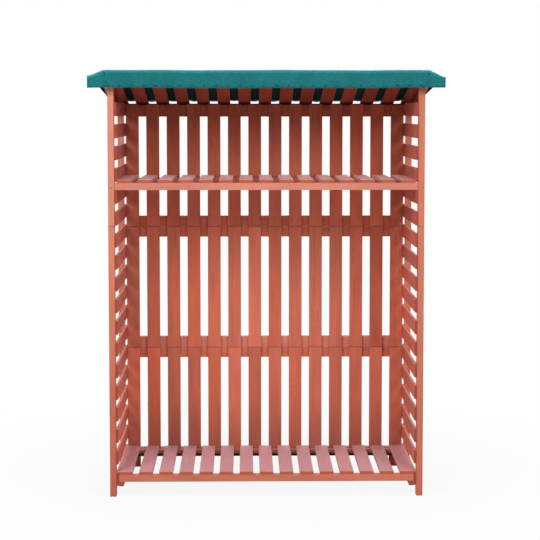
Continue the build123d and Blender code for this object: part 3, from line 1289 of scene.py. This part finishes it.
@dataclass
class TimberWork:
    """All the sawn timber: posts, rails, bearers, slats and roof."""

    # finish of the left posts, paler towards the top as painted light
    post_finish: StainedSoftwood = StainedSoftwood(early="c06551", top_painted_light="e49278")
    # finish of the right posts, a little redder low down and with less painted light towards the top
    right_post_finish: StainedSoftwood = StainedSoftwood(early="cc6d55", top_painted_light="d37f63")
    # finish of the rails and bearers of the floor, shelf and roof
    rail_finish: StainedSoftwood = StainedSoftwood(early="c1725f", late="a6523f", top_painted_light="c67862")
    # finish of the back wall's slats, and of most rails behind them, darker towards the top as painted shade
    # and with a strong painted sheen on faces that look up
    wall_finish: StainedSoftwood = StainedSoftwood(
        early="d17057",
        late="a9503a",
        top_painted_light="c86a50",
        end_grain="9a432d",
        worn="e09477",
        contrast=0.26,
        roughness=0.64,
        painted_top_sheen=0.6,
    )
    # finish of the side walls' slats, also darker towards the top as painted shade
    side_finish: StainedSoftwood = replace(wall_finish, early="e0765a", late="b1533b", top_painted_light="c56248")
    # finish of the left wall's upper slats, darker towards the top as painted shade
    upper_left_finish: StainedSoftwood = replace(side_finish, top_painted_light="b45840")
    # finish of the upper rail behind the back wall's lower joint, of paler timber
    joint_finish: StainedSoftwood = StainedSoftwood(
        early="d4806c", late="ad5a48", top_painted_light="d17a64", worn="e09477", contrast=0.3, roughness=0.64
    )
    deck_finish: StainedSoftwood = StainedSoftwood(
        early="c26240",
        late="a84d36",
        top_painted_light="c26240",
        end_grain="b4553c",
        worn="dc8f72",
        roughness=0.68,
        bloom=0.4,
        painted_top_sheen=0.52,
        painted_sheen_colour="dcb6c8",
    )
    # finish of the shelf's slats, with a warmer painted sheen
    shelf_finish: StainedSoftwood = replace(deck_finish, painted_top_sheen=0.48, painted_sheen_colour="e2b9ba")
    # finish of the roof slats, dark throughout as painted shade for their shaded undersides
    shaded_roof_finish: StainedSoftwood = StainedSoftwood(
        early="963f2b",
        late="7c3020",
        top_painted_light="963f2b",
        end_grain="8c3a28",
        worn="b0604a",
        roughness=0.8,
        bloom=0.0,
    )
    seed_step: float = 31.0  # step of the number that sets one solid's boards apart from the next one's
    seed_start: float = 5.0  # the first solid's number

    def finish(self, node: str) -> StainedSoftwood:
        """Choose the finish of one solid by the first part of a name that it holds.

        Args:
            node: Name of the solid.

        Returns:
            Its finish.
        """
        finishes = {
            "roof_slats": self.shaded_roof_finish,
            "floor_slats": self.deck_finish,
            "shelf_slats": self.shelf_finish,
            "left_side_slats_upper": self.upper_left_finish,
            "side_slats": self.side_finish,
            "back_rail_middle_bottom": self.joint_finish,
            "back": self.wall_finish,
            "left_front_post": self.post_finish,
            "left_rear_post": self.post_finish,
            "post": self.right_post_finish,
        }
        return next((finish for part, finish in finishes.items() if part in node), self.rail_finish)

    def layout(self, node: str) -> BoardLayout:
        """Tell how the boards of one solid lie.

        Args:
            node: Name of the solid.

        Returns:
            Its layout.
        """
        if "side_slats" in node:
            return BoardLayout.of_node(node, Axis.Y, Axis.Z, *SIDE_SLATS[node.split("_")[-1]])
        if node.startswith("back_slats"):
            return BoardLayout.of_node(node, Axis.Z, Axis.X, BACK_SLATS)
        if node in ("floor_slats", "shelf_slats"):
            return BoardLayout.of_node(node, Axis.Y, Axis.X, DECK_SLATS)
        if node == "roof_slats":
            row = BoardLayout.of_node(node, Axis.Y, Axis.X, ROOF_SLATS, width=ROOF_SLAT_WIDTH)
            top = Matrix.Rotation(ROOF_SLOPE, 3, "X") @ Vector((0, 0, roof_top(0)))
            middle = top.z - ROOF_SLAT_THICKNESS / 2
            return replace(row, middle=middle, thickness=ROOF_SLAT_THICKNESS, ends=NO_ENDS, turn=ROOF_SLOPE)
        if "post" in node:
            return BoardLayout.of_node(node, Axis.Z, Axis.X)
        if "bearer" in node:
            return BoardLayout.of_node(node, Axis.Y, Axis.X)
        return BoardLayout.of_node(node, Axis.X, Axis.Z)

    def dress(self, nodes: dict[str, Object]) -> None:
        """Give every timber solid its finish.

        Args:
            nodes: The solids by name.
        """
        for index, (name, solid) in enumerate(sorted(nodes.items())):
            if name == "roof_cover":
                continue
            seed = self.seed_step * index + self.seed_start
            solid.data.materials.clear()
            finish = self.finish(name).material(f"stained_fir_{name}", self.layout(name), seed)
            solid.data.materials.append(finish)
            LOG.info("dressed %s", name)


@dataclass(frozen=True)
class Lamp:
    """A square soft lamp, which points at the object's middle line."""

    name: str
    place: Triple
    aim: float  # height of the point that it points at
    size: float  # side of its square
    power: float

    def hang(self) -> None:
        """Put the lamp in the scene."""
        data = bpy.data.lights.new(self.name, "AREA")
        data.shape = "SQUARE"
        data.size = self.size
        data.energy = self.power
        lamp = bpy.data.objects.new(self.name, data)
        lamp.location = self.place
        towards = Vector((0, 0, self.aim)) - Vector(self.place)
        lamp.rotation_euler = towards.to_track_quat("-Z", "Y").to_euler()
        bpy.context.scene.collection.objects.link(lamp)


@dataclass
class Studio:
    """Floor, light and camera."""

    lamps: tuple[Lamp, ...] = (
        Lamp("left_lamp", (-2.8, -4.3, 3.9), aim=1.0, size=2.8, power=178.5),
        Lamp("right_lamp", (2.8, -4.3, 3.9), aim=1.0, size=2.8, power=144.5),
        Lamp("top_lamp", (0.0, -0.5, 5.0), aim=1.7, size=2.2, power=71.4),
        Lamp("rear_lamp", (0.0, 4.4, 3.2), aim=0.8, size=3.0, power=68.0),
    )
    fill: float = 0.17  # strength of the world's light
    paper: str = "e6e6e6"
    paper_radius: float = 60.0  # radius of the floor
    whitening: Pair = (0.7, 2.0)  # where the floor begins to turn to plain white, and where it is
    lens: float = 105.48  # the camera's focal length, for a sensor of 36 mm
    shift: float = -41 / 540  # shift of the frame, 41 of its 540 pixels down
    # the camera's place, in front and at the roof's height, in metres
    camera_place: Triple = (-0.0860, -6.5452, 1.5572)
    camera_turn: Pair = (85.663, -0.911)  # the camera's tilt and turn in degrees

    def floor(self) -> None:
        """Make the pale floor, which turns to plain white further out."""
        mesh = bmesh.new()
        bmesh.ops.create_circle(mesh, cap_ends=True, segments=96, radius=self.paper_radius)
        material = bpy.data.materials.new("studio_floor_paper")
        material.use_nodes = True
        tree = material.node_tree
        tree.nodes.clear()
        distance = add(tree, "VectorMath.LENGTH", add(tree, "TexCoord").outputs["Object"])
        far = add(tree, "MapRange", distance, *self.whitening, 0.9, 1.0, **SMOOTH)
        seen = add(tree, "LightPath").outputs["Is Camera Ray"]
        share = add(tree, "Math.MULTIPLY", far, seen)
        paper = add(tree, "BsdfDiffuse", linear(self.paper))
        white = add(tree, "Emission", linear("ffffff"), 1.0)
        add(tree, "OutputMaterial", add(tree, "MixShader", share, paper, white))
        finish_mesh("studio_floor", mesh, [material], smooth=False)

    def world(self) -> None:
        """Light the world softly, and show it as plain white, also where gloss reflects its back."""
        world = bpy.data.worlds.new("studio_world")
        bpy.context.scene.world = world
        world.use_nodes = True
        tree = world.node_tree
        tree.nodes.clear()
        seen = add(tree, "LightPath").outputs
        heading = add(tree, "SeparateXYZ", add(tree, "TexCoord").outputs["Generated"]).outputs[1]
        behind = add(tree, "MapRange", heading, -0.2, 0.3)
        mirrored = add(tree, "Math.MULTIPLY", seen["Is Glossy Ray"], behind)
        shown = add(tree, "Math.MAXIMUM", seen["Is Camera Ray"], mirrored)
        soft = add(tree, "Background", linear("ffffff"), self.fill)
        white = add(tree, "Background", linear("ffffff"), 1.0)
        add(tree, "OutputWorld", add(tree, "MixShader", shown, soft, white))

    def camera(self) -> None:
        """Set the camera at the photograph's viewing angle."""
        data = bpy.data.cameras.new("studio_camera")
        data.sensor_width = 36.0
        data.lens = self.lens
        data.shift_y = self.shift
        data.clip_start = 0.1
        data.clip_end = 200.0
        camera = bpy.data.objects.new("studio_camera", data)
        camera.location = self.camera_place
        tilt, turn = self.camera_turn
        camera.rotation_euler = (math.radians(tilt), 0.0, math.radians(turn))
        bpy.context.scene.collection.objects.link(camera)
        bpy.context.scene.camera = camera

    def build(self) -> None:
        """Set up the whole studio."""
        bpy.context.scene.view_settings.view_transform = "Standard"
        self.floor()
        self.world()
        for lamp in self.lamps:
            lamp.hang()
        self.camera()


def corners(box: tuple[Vector, Vector]) -> list[list[float]]:
    """Turn a box into plain lists of numbers."""
    return [[float(value) for value in corner] for corner in box]


def main() -> None:
    """Build the log store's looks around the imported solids."""
    logging.basicConfig(level=logging.INFO, format="%(message)s")
    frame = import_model()
    Studio().build()
    LOG.info("studio set up")
    timber = TimberWork()
    timber.dress(frame["nodes"])
    boards = RoofSideBoards()
    boards.build(timber.rail_finish.material("stained_fir_roof_side_boards", boards.layout, boards.seed))
    LOG.info("built the boards under the roof's edges")

    cloth = WovenPolyester().material("woven_polyester_cover")
    backing = RubberisedBacking().material("rubberised_cover_backing")
    cover = RoofCover()
    sheet = cover.build(cloth, backing)
    LOG.info("built the cover, %.3f by %.3f m flat", *cover.flat_size())
    wire = CoatedSteel(colour="0c3a40", dull="07272c").material("painted_staple_wire")
    staples = CoverStaples().build(wire)
    LOG.info("built the cover's staples")
    cover.flat_size()
    ShelfBolts().build(CoatedSteel().material("zinc_plated_bolt"))
    LOG.info("built the shelf's bolt heads")
    steel = CoatedSteel(colour="c48a76", dull="94604e", roughness=0.55).material("stained_steel_brad")
    SlatBrads().build(steel)
    LOG.info("built the slats' brad heads")

    bpy.context.view_layer.update()


if __name__ == "__main__":
    main()
